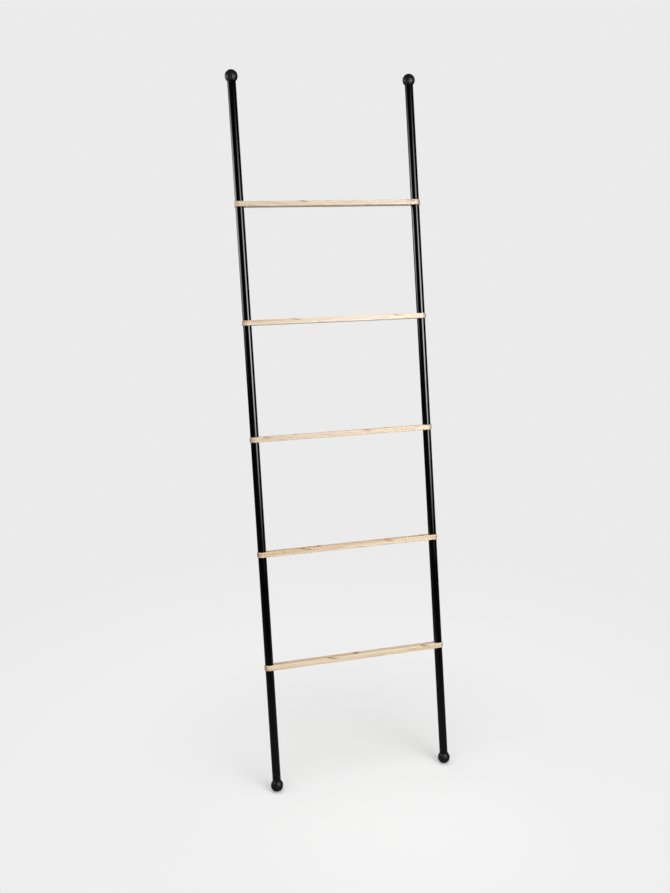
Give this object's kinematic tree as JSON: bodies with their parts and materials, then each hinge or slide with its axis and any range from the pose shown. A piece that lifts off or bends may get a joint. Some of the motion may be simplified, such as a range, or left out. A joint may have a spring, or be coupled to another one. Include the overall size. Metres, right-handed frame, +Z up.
{
  "type": "blanket ladder",
  "caption": "Leaning blanket ladder: slim black tube rails with a ball on each end, and flat pale wood rungs with half-round ends clamped between lengths of tube.",
  "frame": {"origin": "on the floor, midway between the points where the two foot balls touch it", "axes": "+X along the rungs to the right as seen from the front, +Y back towards the wall that the ladder leans on, +Z up; the rails lean back 12.5 degrees"},
  "size_m": [0.464, 0.3946, 1.6744],
  "materials": {
    "powder_coated_tube": "semi-gloss black powder coat on steel tube",
    "laminated_wood": "clear matt lacquer on pale laminated bamboo",
    "black_ball": "satin black moulded plastic",
    "zinc_plated_stud": "bright zinc plate",
    "insert_steel": "plain turned steel"
  },
  "bodies": {
    "root": {"left_rail_section_1": "powder_coated_tube", "left_rail_section_2": "powder_coated_tube", "left_rail_section_3": "powder_coated_tube", "left_rail_section_4": "powder_coated_tube", "left_rail_section_5": "powder_coated_tube", "left_rail_section_6": "powder_coated_tube", "right_rail_section_1": "powder_coated_tube", "right_rail_section_2": "powder_coated_tube", "right_rail_section_3": "powder_coated_tube", "right_rail_section_4": "powder_coated_tube", "right_rail_section_5": "powder_coated_tube", "right_rail_section_6": "powder_coated_tube", "left_section_1_lower_insert": "insert_steel", "left_section_1_upper_insert": "insert_steel", "left_section_2_lower_insert": "insert_steel", "left_section_2_upper_insert": "insert_steel", "left_section_3_lower_insert": "insert_steel", "left_section_3_upper_insert": "insert_steel", "left_section_4_lower_insert": "insert_steel", "left_section_4_upper_insert": "insert_steel", "left_section_5_lower_insert": "insert_steel", "left_section_5_upper_insert": "insert_steel", "left_section_6_lower_insert": "insert_steel", "left_section_6_upper_insert": "insert_steel", "right_section_1_lower_insert": "insert_steel", "right_section_1_upper_insert": "insert_steel", "right_section_2_lower_insert": "insert_steel", "right_section_2_upper_insert": "insert_steel", "right_section_3_lower_insert": "insert_steel", "right_section_3_upper_insert": "insert_steel", "right_section_4_lower_insert": "insert_steel", "right_section_4_upper_insert": "insert_steel", "right_section_5_lower_insert": "insert_steel", "right_section_5_upper_insert": "insert_steel", "right_section_6_lower_insert": "insert_steel", "right_section_6_upper_insert": "insert_steel", "left_joint_stud_1": "zinc_plated_stud", "left_joint_stud_2": "zinc_plated_stud", "left_joint_stud_3": "zinc_plated_stud", "left_joint_stud_4": "zinc_plated_stud", "left_joint_stud_5": "zinc_plated_stud", "right_joint_stud_1": "zinc_plated_stud", "right_joint_stud_2": "zinc_plated_stud", "right_joint_stud_3": "zinc_plated_stud", "right_joint_stud_4": "zinc_plated_stud", "right_joint_stud_5": "zinc_plated_stud", "left_foot_ball_stud": "zinc_plated_stud", "left_top_ball_stud": "zinc_plated_stud", "right_foot_ball_stud": "zinc_plated_stud", "right_top_ball_stud": "zinc_plated_stud", "left_foot_ball": "black_ball", "left_top_ball": "black_ball", "right_foot_ball": "black_ball", "right_top_ball": "black_ball", "rung_1": "laminated_wood", "rung_2": "laminated_wood", "rung_3": "laminated_wood", "rung_4": "laminated_wood", "rung_5": "laminated_wood"}
  },
  "joints": []
}
